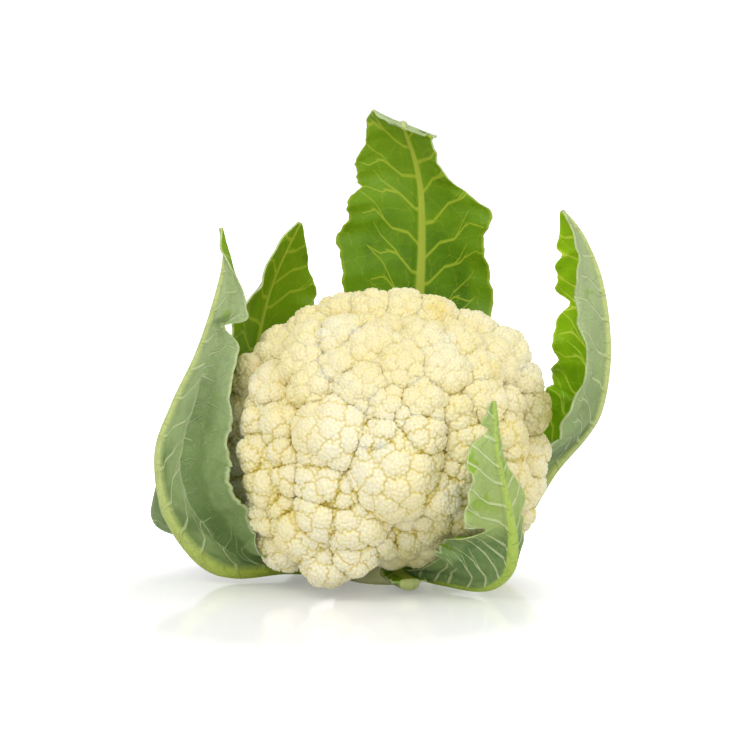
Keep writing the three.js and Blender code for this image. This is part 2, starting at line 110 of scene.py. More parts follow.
# Buds, in the same order from the spacing on.
BUD_SPACING_LOW = 2.5
BUD_SPACING_HIGH = 2.1
BUD_JITTER = 0.6
BUD_DOME = 0.42
BUD_LIMIT = 1.3
BUD_STEP = 0.25
BUD_CREASE = 0.2
BUD_CREASE_WIDTH = 0.3

# Creases between main florets, the painted shade in the gaps beside them, and how much softer high florets
# are.
MAIN_CREASE = 1.2
MAIN_CREASE_WIDTH = 1.2
GAP_SHADE_REACH = 4
CORE_GAP_SHADE = 0.6
HIGH_START = 70
HIGH_BAND = 50
HIGH_SOFTENING = 0.5

# Mesh: area of a scattered place and edge of the first ball, as shares, then the triangles' edges in
# front, behind and on the core, and how deep in another floret a surface or a bud is left out. BLOCK is
# how many pairs of a direction and a bud are compared at once.
PLACE_AREA = 0.87
BALL_EDGE = 0.301
FRONT_EDGE = 0.6
BACK_EDGE = 1.3
CORE_EDGE = 1.2
FRONT_LIMIT = 0.1
SMOOTHING = 0.1
HIDDEN_DEPTH = 2.5
BUD_HIDDEN_DEPTH = 5.5
TOUCH_REACH = 10
PIECE_TRIANGLES = 185000
BLOCK = 2000000

# Stem.
STEM_RADIUS = 22
STEM_EDGE = 1.5
STEM_TOP_RADIUS = 25
STEM_WAIST_HEIGHT = 16
STEM_HEIGHT = 34
STEM_SIDES = 96
STEM_WELD = 0.01

# Leaves. Each station is x, y, z of the midrib, then two widths of the blade, two angles and two curls.
# Of every pair the first is for the anticlockwise side as seen from above, and the second for the other.
# rib is the midrib's radius at the start and at the tip, wave the number, height and phase of the waves,
# lip and fold their heights on each side, and turn the degrees that the leaf is turned about its midrib.
# Each bite has its place along the leaf, its side (1 anticlockwise, -1 clockwise), its half width along
# the leaf and its depth as a share of the width.
LEAVES = {
    "leaf_left": {
        "stations": [
            (-20, 5, 8.2, 8, 8, 0, 0, 0, 0),
            (-51, -4, 7.3, 20, 11, 50, 10, 10, 10),
            (-82, -15, 8, 42, 20, 45, 10, 20, 20),
            (-103, -19, 32, 55, 30, 25, -22, 40, 10),
            (-109, -19, 62, 58, 30, 15, 0, 55, 10),
            (-102, -17, 86, 48, 26, 15, 20, 55, 20),
            (-91, -15, 110, 32, 14, 15, 20, 60, 20),
            (-83, -13, 134, 25, 8, 15, 30, 50, 20),
            (-78, -11, 156, 15, 5, 0, 20, 20, 10),
            (-80, -11, 172, 1.5, 1.5, 0, 0, 0, 0),
        ],
        "rib": (8.5, 1.0),
        "wave": (4, 3.5, 0.3),
        "lip": (9, 0),
        "fold": (5, 0),
        "turn": (0, 0, 0, 0, 0, 0, 0, 10, 20, 20),
        "bites": ((0.745, 1, 0.018, 0.6),),
    },
    "leaf_left_back": {
        "stations": [
            (-15, 17, 9, 8, 8, 0, 0, 0, 0),
            (-42, 42, 9, 12, 12, 10, 10, 10, 10),
            (-66, 60, 42, 40, 28, 10, 10, 30, 30),
            (-70, 60, 82, 38, 34, 10, 10, 30, 20),
            (-66, 56, 114, 30, 33, 10, 10, 20, 10),
            (-58, 51, 143, 20, 27, 10, 10, 20, 10),
            (-44, 42, 172, 1.5, 1.5, 0, 0, 0, 0),
        ],
        "rib": (8, 1.0),
        "wave": (4, 2.5, 0.1),
        "lip": (0, 0),
        "fold": (0, 0),
        "turn": (0, 0, 0, 0, 0, 0, 0),
        "bites": (),
    },
    "leaf_back": {
        "stations": [
            (4, 22, 9, 8, 8, 0, 0, 0, 0),
            (9, 52, 10, 13, 13, 10, 10, 10, 10),
            (14, 78, 38, 30, 28, 10, 10, 30, 30),
            (17, 84, 85, 40, 38, 10, 10, 20, 20),
            (17, 84, 128, 42, 41, 5, 5, 10, 10),
            (18, 83, 155, 45, 36, 5, 5, 10, 10),
            (18, 81, 175, 42, 38, 5, 5, 10, 10),
            (17, 79, 191, 36, 19, 5, 5, 10, 10),
            (14, 76, 205, 34, 14, 5, 5, 10, 10),
            (10, 71, 216, 25, 18, 0, 0, 10, 10),
            (8, 64, 221, 18, 18, 0, 0, 0, 0),
            (8, 58, 219, 8, 12, 0, 0, 0, 0),
        ],
        "rib": (8.5, 1.0),
        "wave": (5, 2, 0.6),
        "lip": (0, 0),
        "fold": (0, 0),
        "turn": (0, 0, 0, 0, 0, 0, 0, 0, -6, -14, -20, -20),
        "bites": ((0.645, 1, 0.012, 0.1), (0.79, -1, 0.02, 0.2)),
    },
    "leaf_right": {
        "stations": [
            (20, 9, 9, 8, 8, 0, 0, 0, 0),
            (46, 30, 9, 12, 12, 10, 10, 10, 10),
            (66, 46, 22, 18, 18, 30, 15, 10, 15),
            (83, 49, 47, 26, 42, 50, 20, 15, 20),
            (99, 42, 67, 28, 52, 50, 20, 15, 30),
            (106, 36, 82, 30, 37, 50, 24, 15, 20),
            (109, 28, 110, 31, 23, 50, 36, 15, 15),
            (105, 22, 142, 27, 22, 50, 38, 15, 15),
            (96, 17, 165, 17, 15, 50, 36, 0, 0),
            (85, 12, 179, 1.5, 1.5, 40, 10, 0, 0),
        ],
        "rib": (8, 1.0),
        "wave": (5, 2.5, 0.2),
        "lip": (0, 2),
        "fold": (0, 0),
        "turn": (0, 0, -20, -35, -28, -24, -20, -18, -15, 0),
        "bites": ((0.865, 1, 0.014, 0.25), (0.743, 1, 0.018, 0.32), (0.62, 1, 0.02, 0.12)),
    },
    "leaf_front": {
        "stations": [
            (12, -17, 8, 7, 7, 0, 0, 0, 0),
            (28, -35, 6, 8, 14, 10, 35, 0, 10),
            (45, -52, 6, 6, 33, 10, 36, 10, 10),
            (55, -65, 15, 4, 36, 10, 40, 10, 5),
            (57, -75, 30, 10, 29, 10, 50, 10, 5),
            (54, -82, 48, 12, 24, 10, 5, 10, 0),
            (50, -89, 66, 6, 19, 10, -5, 0, 5),
            (48, -93, 80, 3, 14, 0, 0, 0, 10),
            (47, -96, 98, 1.5, 1.5, 0, 0, 0, 0),
        ],
        "rib": (6, 0.8),
        "wave": (4, 2.5, 0.4),
        "lip": (0, 0),
        "fold": (0, 0),
        "turn": (0, 0, 0, 0, 0, 0, 0, 0, 0),
        "bites": (
            (0.905, -1, 0.02, 0.8),
            (0.955, -1, 0.008, 0.4),
            (0.57, -1, 0.022, 0.55),
            (0.57, 1, 0.01, 0.25),
        ),
    },
    "stalk_stub": {
        "stations": [
            (2, -20, 8, 6, 6, 0, 0, 0, 0),
            (6, -32, 6, 8, 8, 0, 0, 0, 0),
            (10, -46, 6, 9, 9, 0, 0, 10, 10),
        ],
        "rib": (6, 4),
        "wave": (1, 0.5, 0.3),
        "lip": (0, 0),
        "fold": (0, 0),
        "turn": (0, 0, 0),
        "bites": (),
    },
}
# Place of a side's value in a pair, and where the pairs start in a station.
SIDE_PLACE = {1: 0, -1: 1}
WIDTHS_AT = 3
ANGLES_AT = 5
CURLS_AT = 7

# Section of a leaf: the blade, and the domes that the midrib adds on its outer and inner face.
BLADE_THICKNESS = 1.0
RIB_OUTER = 0.85
RIB_INNER = 0.3
RIB_FOOT = 1.25
RIB_FOOT_LIMIT = 0.6
RIB_TAPER = 0.55
# Waves grow from the midrib to the margin, and along the stalk.
WAVE_START = 2.2
WAVE_SIDE_SHIFT = 0.27
WAVE_FULL_WIDTH = 20
WAVE_STALK = 0.2
FINE_WAVES = 3.3
FINE_SLANT = 0.6
FINE_HEIGHT = 0.8
FINE_START = 3
# Margin: how often along the leaf and how deep, and the lip and the fold of the left leaf.
NOTCHES = ((7.3, 0.03), (11.1, 0.02))
NOTCH_SHIFT = 2
FRILLS = ((23.7, 0.01), (41.3, 0.008))
FRILL_SHIFT = 3
LIP_START = 0.6
LIP_POWER = 1.2
FOLD_AT = 0.5
FOLD_WIDTH = 0.07
# Mesh of a leaf: rows along it, columns on each side and steps in which the curl is added up.
LEAF_ROWS = 130
RIB_COLUMNS = 8
BLADE_COLUMNS = 26
CURL_STEPS = 12
MM_PER_CM = 10
# leaf_place says how far off the midrib a place is, as a share of this many widths of the rib.
RIB_REACH = 2
RIB_BLUR = 0.08

# Side veins, in centimetres on the flattened leaf: their curve, the shift of one side's against the
# other's, each one's drift and zigzag, and the half width at the midrib and at VEIN_THIN_AT from it.
# VEIN_SLANT is the distance across a vein for each centimetre along the midrib. A fork starts so much
# later and spreads that way. Links join the veins, and the net lies between them.
VEIN_CURVE = 0.05
VEIN_SIDE_SHIFT = 0.4
VEIN_DRIFT = 0.4
VEIN_BENDS = 0.6
VEIN_ZIGZAG = 0.45
VEIN_HALF_WIDTHS = (0.075, 0.028)
VEIN_THIN_AT = 3.5
VEIN_SLANT = 0.8
FORKS = ((0.0, 0.42), (0.55, -0.42))
FORK_WIDTH = 0.8
LINK_CELLS = 0.8
LINK_STRENGTH = 0.4
NET_CELLS = 3.2

# Stage, in metres and watts: reach of the floor, where it glows least, and the soft lights.
FLOOR_REACH = 6
GLOW_CENTRE = (-0.03, -0.06, 0)
LIGHT_TARGET = (0, 0, 0.1)
LIGHTS = {
    "key": {"place": (-0.9, -1.2, 1.6), "size": 0.9, "power": 11},
    "fill": {"place": (1.3, -0.8, 0.9), "size": 0.9, "power": 7},
    "front": {"place": (-0.2, -1.5, 0.3), "size": 0.8, "power": 4.5},
}
WORLD_AS_LIGHT = 0.68
WORLD_TO_CAMERA = 1.1

# Photograph's view.
VIEW_ELEVATION = 6
VIEW_DISTANCE = 1250
VIEW_TARGET = np.array([-6.3, -10, 100.9])
VIEW_LENS = 124.2
VIEW_SENSOR = 36
VIEW_FAR = 50


def draw(item, kind):
    """Repeatable draw between 0 and 1 for the item with these two numbers."""
    v = np.sin(item * DRAW_WAVES[0] + kind * DRAW_WAVES[1] + DRAW_START) * DRAW_SCALE
    return v - np.floor(v)


def unit(vectors):
    return vectors / np.linalg.norm(vectors, axis=-1, keepdims=True)


def smooth_step(x):
    t = np.clip(x, 0, 1)
    return t * t * (3 - 2 * t)


def between(low, high, share):
    return low + (high - low) * share


def cross_axes(axis):
    """Two unit vectors square to the given one."""
    side = np.array([0.0, 1, 0]) if abs(axis[0]) > 0.8 else np.array([1.0, 0, 0])
    first = unit(np.cross(axis, side))
    return first, np.cross(axis, first)


def spiral(axis, tilts, turns):
    """Directions at these tilts from an axis and turns about it."""
    first, second = cross_axes(axis)
    ring = np.cos(turns)[:, None] * first + np.sin(turns)[:, None] * second
    return np.cos(tilts)[:, None] * axis + np.sin(tilts)[:, None] * ring


def new_object(name, bm, *materials):
    """Object at the origin with the shape of a bmesh, which is used up."""
    mesh = bpy.data.meshes.new(name)
    bm.to_mesh(mesh)
    bm.free()
    for material in materials:
        mesh.materials.append(material)
    obj = bpy.data.objects.new(name, mesh)
    bpy.context.scene.collection.objects.link(obj)
    return obj


def dress(obj, node):
    """Ties a piece to the part: it moves with it and stands for a node, whose own mesh is hidden."""
    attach(obj, "root")
    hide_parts(node)


# Curd


def main_florets():
    """Axis, distance of the middle from the curd's centre, and radius of every main floret."""
    axes, distances, radii = [], [], []
    for x, z, reach, radius in FRONT_FLORETS:
        depth = math.sqrt(max(reach * reach - x * x - z * z, 0))
        axes.append(unit(np.array([x, -depth, z])))
        distances.append(reach - radius)
        radii.append(radius - SMALL_RISE)
    front = np.array(axes)
    k = np.arange(BACK_COUNT)
    rise = 1 - 2 * (k + 0.5) / BACK_COUNT
    for item, axis in enumerate(spiral(CROWN, np.arccos(rise), GOLDEN_ANGLE * k)):
        crowded = np.max(front @ axis) > math.cos(math.radians(BACK_SPACING))
        if rise[item] < STEM_SIDE_LIMIT or axis[1] < 0 or crowded:
            continue
        flattening = BACK_FLATTENING * max(axis[2], 0) ** 2
        reach = BACK_REACH - flattening + BACK_SPREAD * (draw(item, DRAW_REACH) - 0.5)
        radius = BACK_RADIUS + BACK_SPREAD * (draw(item, DRAW_RADIUS) - 0.5)
        axes.append(axis)
        distances.append(reach - radius)
        radii.append(radius - SMALL_RISE)
    return np.array(axes), np.array(distances), np.array(radii)


def scattered(item, axis, radius, spacing, jitter):
    """Directions spread evenly over a ball's cap round an axis, each moved off its place a little."""
    share = 1 - math.cos(math.radians(SMALL_CAP))
    count = round(2 * math.pi * radius**2 * share / (spacing**2 * PLACE_AREA))
    k = np.arange(count)
    tilts = np.arccos(1 - share * (k + 0.5) / count)
    out = spiral(axis, tilts, GOLDEN_ANGLE * k + TURN * draw(item, DRAW_TURN))
    shift = np.stack([draw(k, item + kind) for kind in DRAW_SHIFTS], 1) - 0.5
    return unit(out + shift * jitter * spacing / radius)


def cells_at(directions, buds, groups):
    """Nearest bud in each direction, and the angles to the borders of its cell and of its group's."""
    nearest = np.zeros(len(directions), int)
    to_cell = np.zeros(len(directions))
    to_group = np.zeros(len(directions))
    rows = max(BLOCK // len(buds), 1)
    for start in range(0, len(directions), rows):
        part = slice(start, start + rows)
        close = directions[part] @ buds.T
        line = np.arange(len(close))
        first = close.argmax(1)
        best = close[line, first]
        nearest[part] = first
        close[line, first] = -1
        for border in (to_cell, to_group):
            other = close.argmax(1)
            apart = np.linalg.norm(buds[first] - buds[other], axis=1)
            border[part] = (best - close[line, other]) / apart
            close[groups[None, :] == groups[first][:, None]] = -1
    return nearest, to_cell, to_group


def fall_from(tops, directions, radius, spacing, limit):
    """How far a dome falls from its top towards each direction: 1 at half the spacing."""
    off = np.linalg.norm(directions - tops, axis=1) * radius / spacing * 2
    return np.minimum(off, limit) ** 2


def ball(radius, edge):
    """Even ball of radius 1. Its edges have about this length when it's scaled to this radius."""
    bm = bmesh.new()
    bmesh.ops.create_icosphere(bm, subdivisions=3, radius=1)
    cuts = max(round(BALL_EDGE * radius / edge) - 1, 1)
    bmesh.ops.subdivide_edges(bm, edges=bm.edges, cuts=cuts, use_grid_fill=True)
    bmesh.ops.triangulate(bm, faces=bm.faces)
    bm.verts.index_update()
    return bm


def directions_of(bm):
    return unit(np.array([vert.co[:] for vert in bm.verts]))


def corners_of(bm):
    """Numbers of the three corners of every triangle."""
    return np.array([[vert.index for vert in face.verts] for face in bm.faces], int).reshape(-1, 3)


def delete_hidden(bm, hidden):
    """Takes away the triangles whose corners are all hidden."""
    covered = hidden[corners_of(bm)].all(1)
    gone = [face for face, under in zip(bm.faces, covered) if under]
    bmesh.ops.delete(bm, geom=gone, context="FACES")
    bm.verts.index_update()


def smoothed(points, triangles):
    """Points moved a little towards the mean of their neighbours."""
    total = np.zeros_like(points)
    count = np.zeros(len(points))
    for a, b in ((0, 1), (1, 2), (2, 0)):
        np.add.at(total, triangles[:, a], points[triangles[:, b]])
        np.add.at(count, triangles[:, a], 1)
    mean = total / np.maximum(count, 1)[:, None]
    return (1 - SMOOTHING) * points + SMOOTHING * mean


def from_stem(directions):
    """Angle of each direction from the way down the stem, in degrees."""
    return np.degrees(np.arccos(np.clip(directions @ -CROWN, -1, 1)))


def painted_shade_spots(offsets):
    """How strong the painted shade of the dull yellow spots is at these offsets from the curd's centre."""
    spot_shade = np.zeros(len(offsets))
    for x, z, strength, reach in SHADE_SPOTS:
        away = np.hypot(offsets[:, 0] - x, offsets[:, 2] - z)
        spot_shade = np.maximum(spot_shade, strength * (1 - smooth_step(away / reach)))
    return np.where(offsets[:, 1] < SHADE_SPOTS_DEPTH, spot_shade, 0)


class Curd:
    """Main florets as balls, and the core as one more ball after them."""

    def __init__(self):
        axes, distances, radii = main_florets()
        self.axes = np.concatenate([axes, [CROWN]])
        self.distances = np.concatenate([distances, [0]])
        self.radii = np.concatenate([radii, [CORE_RADIUS - SMALL_RISE]])
        self.centres = CURD_CENTRE + self.axes * self.distances[:, None]
        self.core = len(radii)

    def away(self, points, m):
        """Distance from each point to the nearest other floret's ball, negative inside it."""
        apart = np.linalg.norm(self.centres - self.centres[m], axis=1)
        touching = apart < self.radii + self.radii[m] + TOUCH_REACH
        nearest = np.full(len(points), np.inf)
        for other in np.flatnonzero(touching[: self.core]):
            if other != m:
                away = np.linalg.norm(points - self.centres[other], axis=1) - self.radii[other]
                nearest = np.minimum(nearest, away)
        if m != self.core:
            core = np.linalg.norm(points - CURD_CENTRE, axis=1) - self.radii[self.core]
            solid = from_stem(unit(points - CURD_CENTRE)) > HOLLOW_ANGLE + HOLLOW_BLEND
            nearest = np.where(solid, np.minimum(nearest, core), nearest)
        return nearest

    def edge(self, m):
        """Length of the triangles' edges, shortest on the florets in view."""
        if m == self.core:
            return CORE_EDGE
        return FRONT_EDGE if self.axes[m][1] < FRONT_LIMIT else BACK_EDGE

    def height(self, m):
        """How high a floret's top is, from 0 low on the curd to 1 near the crown."""
        top = self.centres[m][2] + (self.radii[m] + SMALL_RISE) * self.axes[m][2]
        return smooth_step((top - HIGH_START) / HIGH_BAND)

    def open_ball(self, m):
        """Ball of a main floret, without what the others cover."""
        centre, radius = self.centres[m], self.radii[m]
        bm = ball(radius + SMALL_RISE, self.edge(m))
        directions = directions_of(bm)
        hidden = np.ones(len(directions), bool)
        for level in (radius + SMALL_RISE, radius):
            hidden &= self.away(centre + directions * level, m) < -HIDDEN_DEPTH
        delete_hidden(bm, hidden)
        return bm

    def domes(self, m, directions):
        """How far small florets and buds lie under the ball, and how near their creases are."""
        axis, radius, high = self.axes[m], self.radii[m] + SMALL_RISE, self.height(m)
        small_spacing = between(SMALL_SPACING_LOW, SMALL_SPACING_HIGH, high)
        bud_spacing = between(BUD_SPACING_LOW, BUD_SPACING_HIGH, high)
        smalls = scattered(m, axis, radius, small_spacing, SMALL_JITTER)
        buds = scattered(m + BUD_ITEMS, axis, radius, bud_spacing, BUD_JITTER)
        buds = buds[self.away(self.centres[m] + buds * radius, m) > -BUD_HIDDEN_DEPTH]
        groups = (buds @ smalls.T).argmax(1)
        bud, to_cell, to_group = cells_at(directions, buds, groups)
        small = groups[bud]
        bud_crease = np.exp(-radius * to_cell / BUD_CREASE_WIDTH)
        small_crease = np.exp(-radius * to_group / SMALL_CREASE_WIDTH) * (1 - HIGH_SOFTENING * high)
        drop = BUD_DOME * fall_from(buds[bud], directions, radius, bud_spacing, BUD_LIMIT)
        drop += BUD_CREASE * bud_crease + BUD_STEP * draw(bud, m + DRAW_BUD_STEP)
        drop += SMALL_DOME * fall_from(smalls[small], directions, radius, small_spacing, SMALL_LIMIT)
        drop += SMALL_CREASE * small_crease + SMALL_STEP * draw(small, m + DRAW_SMALL_STEP)
        return drop, bud_crease, small_crease

    def floret(self, m):
        """One main floret with its small florets, buds and the masks of its painted shade."""
        bm = self.open_ball(m)
        directions = directions_of(bm)
        centre = self.centres[m]
        soft = 1 - HIGH_SOFTENING * self.height(m)
        drop, bud_crease, small_crease = self.domes(m, directions)
        reach = self.radii[m] + SMALL_RISE - drop
        outside = self.away(centre + directions * reach[:, None], m)
        reach -= MAIN_CREASE * soft * np.exp(-np.maximum(outside, 0) / MAIN_CREASE_WIDTH)
        if m == self.core:
            share = smooth_step((from_stem(directions) - HOLLOW_ANGLE) / HOLLOW_BLEND)
            reach = between(HOLLOW_RADIUS, reach, share)
        points = centre + smoothed(directions * reach[:, None], corners_of(bm))
        away = self.away(points, m)
        # Painted shade: the nearer another floret lies, the deeper the yellow in the gap, and the core
        # under the florets is always partly shaded.
        gap_shade = 1 - np.clip(away / GAP_SHADE_REACH, 0, 1)
        if m == self.core:
            gap_shade = np.maximum(gap_shade, CORE_GAP_SHADE)
        # The colour attribute holds only painted shade: in the bud creases, in the small creases, in the
        # gaps and on the shaded spots.
        shade_masks = np.stack([bud_crease, small_crease, soft * gap_shade, painted_shade_spots(points - CURD_CENTRE)], 1)
        painted_shade_masks = bm.verts.layers.float_color.new("painted_shade_masks")
        for vert, place, depth in zip(bm.verts, (points * MM).tolist(), shade_masks.tolist()):
            vert.co = place
            vert[painted_shade_masks] = depth
        delete_hidden(bm, away < -HIDDEN_DEPTH)
        return bm


def place_florets(bm, number, material):
    florets = new_object(f"curd_florets_{number}", bm, material)
    florets.data.shade_smooth()
    dress(florets, "curd")


def make_curd(material):
    """The florets and the core, in as few pieces as the triangle limit allows."""
    curd = Curd()
    piece = bmesh.new()
    number = 1
    for m in range(curd.core + 1):
        floret = curd.floret(m)
        if len(piece.faces) + len(floret.faces) > PIECE_TRIANGLES:
            place_florets(piece, number, material)
            piece = bmesh.new()
            number += 1
        mesh = bpy.data.meshes.new("floret")
        floret.to_mesh(mesh)
        floret.free()
        piece.from_mesh(mesh)
        bpy.data.meshes.remove(mesh)
    place_florets(piece, number, material)


# Leaves


def table_at(table, u):
    """Smooth line through the rows of a table, at each u from 0 to 1."""
    rows = np.array(table, float)
    last = len(rows) - 1
    x = np.clip(u, 0, 1) * last
    i = np.minimum(x.astype(int), last - 1)
    f = (x - i)[:, None]
    a, b = rows[np.maximum(i - 1, 0)], rows[i]
    c, d = rows[i + 1], rows[np.minimum(i + 2, last)]
    return 0.5 * (2 * b + (c - a) * f + (2 * a - 5 * b + 4 * c - d) * f**2 + (3 * b - a - 3 * c + d) * f**3)


def midrib(leaf, u):
    """Midrib, the way out of the head and the way to the side, at each u."""
    step = 0.5 / LEAF_ROWS
    rib = table_at(leaf["stations"], u)[:, :3]
    ahead = table_at(leaf["stations"], np.minimum(u + step, 1))[:, :3]
    behind = table_at(leaf["stations"], np.maximum(u - step, 0))[:, :3]
    along = unit(ahead - behind)
    out = rib - CURD_CENTRE
    out = unit(out - (out * along).sum(1, keepdims=True) * along)
    side = np.cross(along, out)
    turn = np.radians(table_at([[t] for t in leaf["turn"]], u))
    out = out * np.cos(turn) + side * np.sin(turn)
    return rib, out, np.cross(along, out)


def stalk_share(u):
    """0 where the leaf starts, and 1 past its stalk."""
    return np.minimum(u / WAVE_STALK, 1)


def cut_width(leaf, u, full, sign):
    """Width of the blade on one side, less its notches, frills and bites."""
    cut = sum(deep * (1 + np.sin(TURN * often * u + NOTCH_SHIFT * sign)) for often, deep in NOTCHES)
    cut = cut + sum(deep * np.sin(TURN * often * u + FRILL_SHIFT * sign) for often, deep in FRILLS)
    mine = [bite for bite in leaf["bites"] if bite[1] == sign]
    bites = sum(deep * np.exp(-(((u - at) / half) ** 2)) for at, _, half, deep in mine)
    return full * (1 - cut * stalk_share(u)) * (1 - bites)


def shares_across(foot):
    """Columns from the midrib to the margin as shares of the width: to the rib's foot, and past it."""
    within = np.linspace(0, 1, RIB_COLUMNS + 1)
    beyond = np.linspace(0, 1, BLADE_COLUMNS + 1)[1:]
    foot = foot[:, None]
    return np.concatenate([foot * within, foot + (1 - foot) * beyond], 1)


def curl(start, bend, reach):
    """How far across and how far inward a curled blade comes at each reach from the midrib."""
    across = np.zeros_like(reach)
    inward = np.zeros_like(reach)
    for i in range(CURL_STEPS):
        heading = start + bend * (i + 0.5) / CURL_STEPS
        across += np.cos(heading) * reach / CURL_STEPS
        inward += np.sin(heading) * reach / CURL_STEPS
    return across, inward


def ripple(leaf, u, full, shares, sign):
    """Height of the waves, the lip and the fold over the plain blade."""
    waves, height, phase = leaf["wave"]
    set_in = (np.minimum(full / WAVE_FULL_WIDTH, 1) * stalk_share(u))[:, None]
    u = u[:, None]
    swing = height * np.sin(2 * np.pi * (waves * u + phase + WAVE_SIDE_SHIFT * sign))
    fine = FINE_HEIGHT * np.sin(2 * np.pi * (FINE_WAVES * waves * u + FINE_SLANT * shares + phase))
    past = np.maximum(shares - LIP_START, 0) / (1 - LIP_START)
    lip = leaf["lip"][SIDE_PLACE[sign]] * past**LIP_POWER
    fold = leaf["fold"][SIDE_PLACE[sign]] * np.exp(-np.abs(shares - FOLD_AT) / FOLD_WIDTH)
    return set_in * (swing * shares**WAVE_START + fine * shares**FINE_START + lip + fold)


def blade_half(leaf, u, line, sign):
    """Outer and inner points, distance from the midrib, the same in rib widths, and share of the way."""
    rib, out, side = (values[:, None] for values in line)
    row = table_at(leaf["stations"], u)
    full, angle, bend = (row[:, at + SIDE_PLACE[sign]] for at in (WIDTHS_AT, ANGLES_AT, CURLS_AT))
    width = cut_width(leaf, u, full, sign)
    radius = between(*leaf["rib"], u**RIB_TAPER)
    shares = shares_across(np.minimum(RIB_FOOT * radius / width, RIB_FOOT_LIMIT))
    start = np.radians(angle)[:, None]
    bend = np.radians(bend)[:, None] * shares
    reach = width[:, None] * shares
    across, inward = curl(start, bend, reach)
    end = (start + bend)[..., None]
    normal = out * np.cos(end) + sign * side * np.sin(end)
    middle = rib + sign * side * across[..., None] - out * inward[..., None]
    middle = middle + normal * ripple(leaf, u, full, shares, sign)[..., None]
    offset = reach / (RIB_FOOT * radius[:, None])
    dome = np.sqrt(np.maximum(1 - offset**2, 0)) * radius[:, None]
    outer = middle + normal * (BLADE_THICKNESS / 2 + RIB_OUTER * dome)[..., None]
    inner = middle - normal * (BLADE_THICKNESS / 2 + RIB_INNER * dome)[..., None]
    return outer, inner, sign * reach, offset, shares


def leaf_grids(leaf):
    """Rows along the midrib of what blade_half gives for both sides, and the length up to each row."""
    u = np.linspace(0, 1, LEAF_ROWS + 1)
    line = midrib(leaf, u)
    clockwise = blade_half(leaf, u, line, -1)
    anticlockwise = blade_half(leaf, u, line, 1)
    grids = [np.concatenate([a[:, ::-1], b[:, 1:]], 1) for a, b in zip(clockwise, anticlockwise)]
    steps = np.linalg.norm(np.diff(line[0], axis=0), axis=1)
    return grids, np.concatenate([[0], np.cumsum(steps)])


def leaf_sheet(outer, inner):
    """Closed sheet: a grid for the outer face, one for the inner face, and a rim between them."""
    rows, columns = outer.shape[:2]
    bm = bmesh.new()
    for points in (outer, inner):
        grid = bmesh.ops.create_grid(bm, x_segments=columns - 1, y_segments=rows - 1, size=1)
        for vert, place in zip(grid["verts"], (points * MM).reshape(-1, 3).tolist()):
            vert.co = place
    inner_faces = list(bm.faces)[(rows - 1) * (columns - 1) :]
    bmesh.ops.reverse_faces(bm, faces=inner_faces)
    bmesh.ops.bridge_loops(bm, edges=[edge for edge in bm.edges if edge.is_boundary])
    bmesh.ops.recalc_face_normals(bm, faces=bm.faces)
    for face in inner_faces:
        face.material_index = 1
    return bm


def add_flat_places(mesh, flat):
    """UV map with the place of each vertex on the flattened leaf."""
    corners = np.zeros(len(mesh.loops), np.int32)
    mesh.loops.foreach_get("vertex_index", corners)
    layer = mesh.uv_layers.new(name="centimetres")
    layer.data.foreach_set("uv", flat[corners].astype(np.float32).ravel())


def make_leaf(name, leaf, materials):
    """One leaf, with what its materials read: its flat places, and its places across and along."""
    (outer, inner, distance, offset, shares), length = leaf_grids(leaf)
    blade = new_object(name + "_blade", leaf_sheet(outer, inner), *materials)
    blade.data.shade_smooth()
    along = np.broadcast_to(length[:, None], shares.shape)
    height = np.broadcast_to(np.linspace(0, 1, len(shares))[:, None], shares.shape)
    flat = np.stack([along, distance], -1).reshape(-1, 2) / MM_PER_CM
    add_flat_places(blade.data, np.tile(flat, (2, 1)))
    places = np.stack([np.minimum(offset / RIB_REACH, 1), shares, height, np.ones_like(shares)], -1)
    attribute = blade.data.attributes.new("leaf_place", "FLOAT_COLOR", "POINT")
    attribute.data.foreach_set("color", np.tile(places.reshape(-1, 4), (2, 1)).astype(np.float32).ravel())
    dress(blade, name)


def make_stem(material):
    """The cut stem, turned about its own axis."""
    profile = [
        (0, 0),
        (STEM_RADIUS - STEM_EDGE, 0),
        (STEM_RADIUS, STEM_EDGE),
        (STEM_RADIUS, STEM_WAIST_HEIGHT),
        (STEM_TOP_RADIUS, STEM_HEIGHT),
        (0, STEM_HEIGHT),
    ]
    bm = bmesh.new()
    verts = [bm.verts.new((radius * MM, 0, height * MM)) for radius, height in profile]
    edges = [bm.edges.new(pair) for pair in zip(verts, verts[1:])]
    full_turn = {"angle": 2 * math.pi, "steps": STEM_SIDES, "use_merge": True}
    bmesh.ops.spin(bm, geom=verts + edges, cent=(0, 0, 0), axis=(0, 0, 1), **full_turn)
    bmesh.ops.remove_doubles(bm, verts=bm.verts, dist=STEM_WELD * MM)
    bmesh.ops.recalc_face_normals(bm, faces=bm.faces)
    dress(new_object("stem_cut", bm, material), "stem")


# Materials


def colour(red, green, blue):
    """Linear colour from screen values between 0 and 255."""
    channels = []
    for value in (red, green, blue):
        c = value / 255
        channels.append(c / 12.92 if c <= 0.04045 else ((c + 0.055) / 1.055) ** 2.4)
    return (*channels, 1)


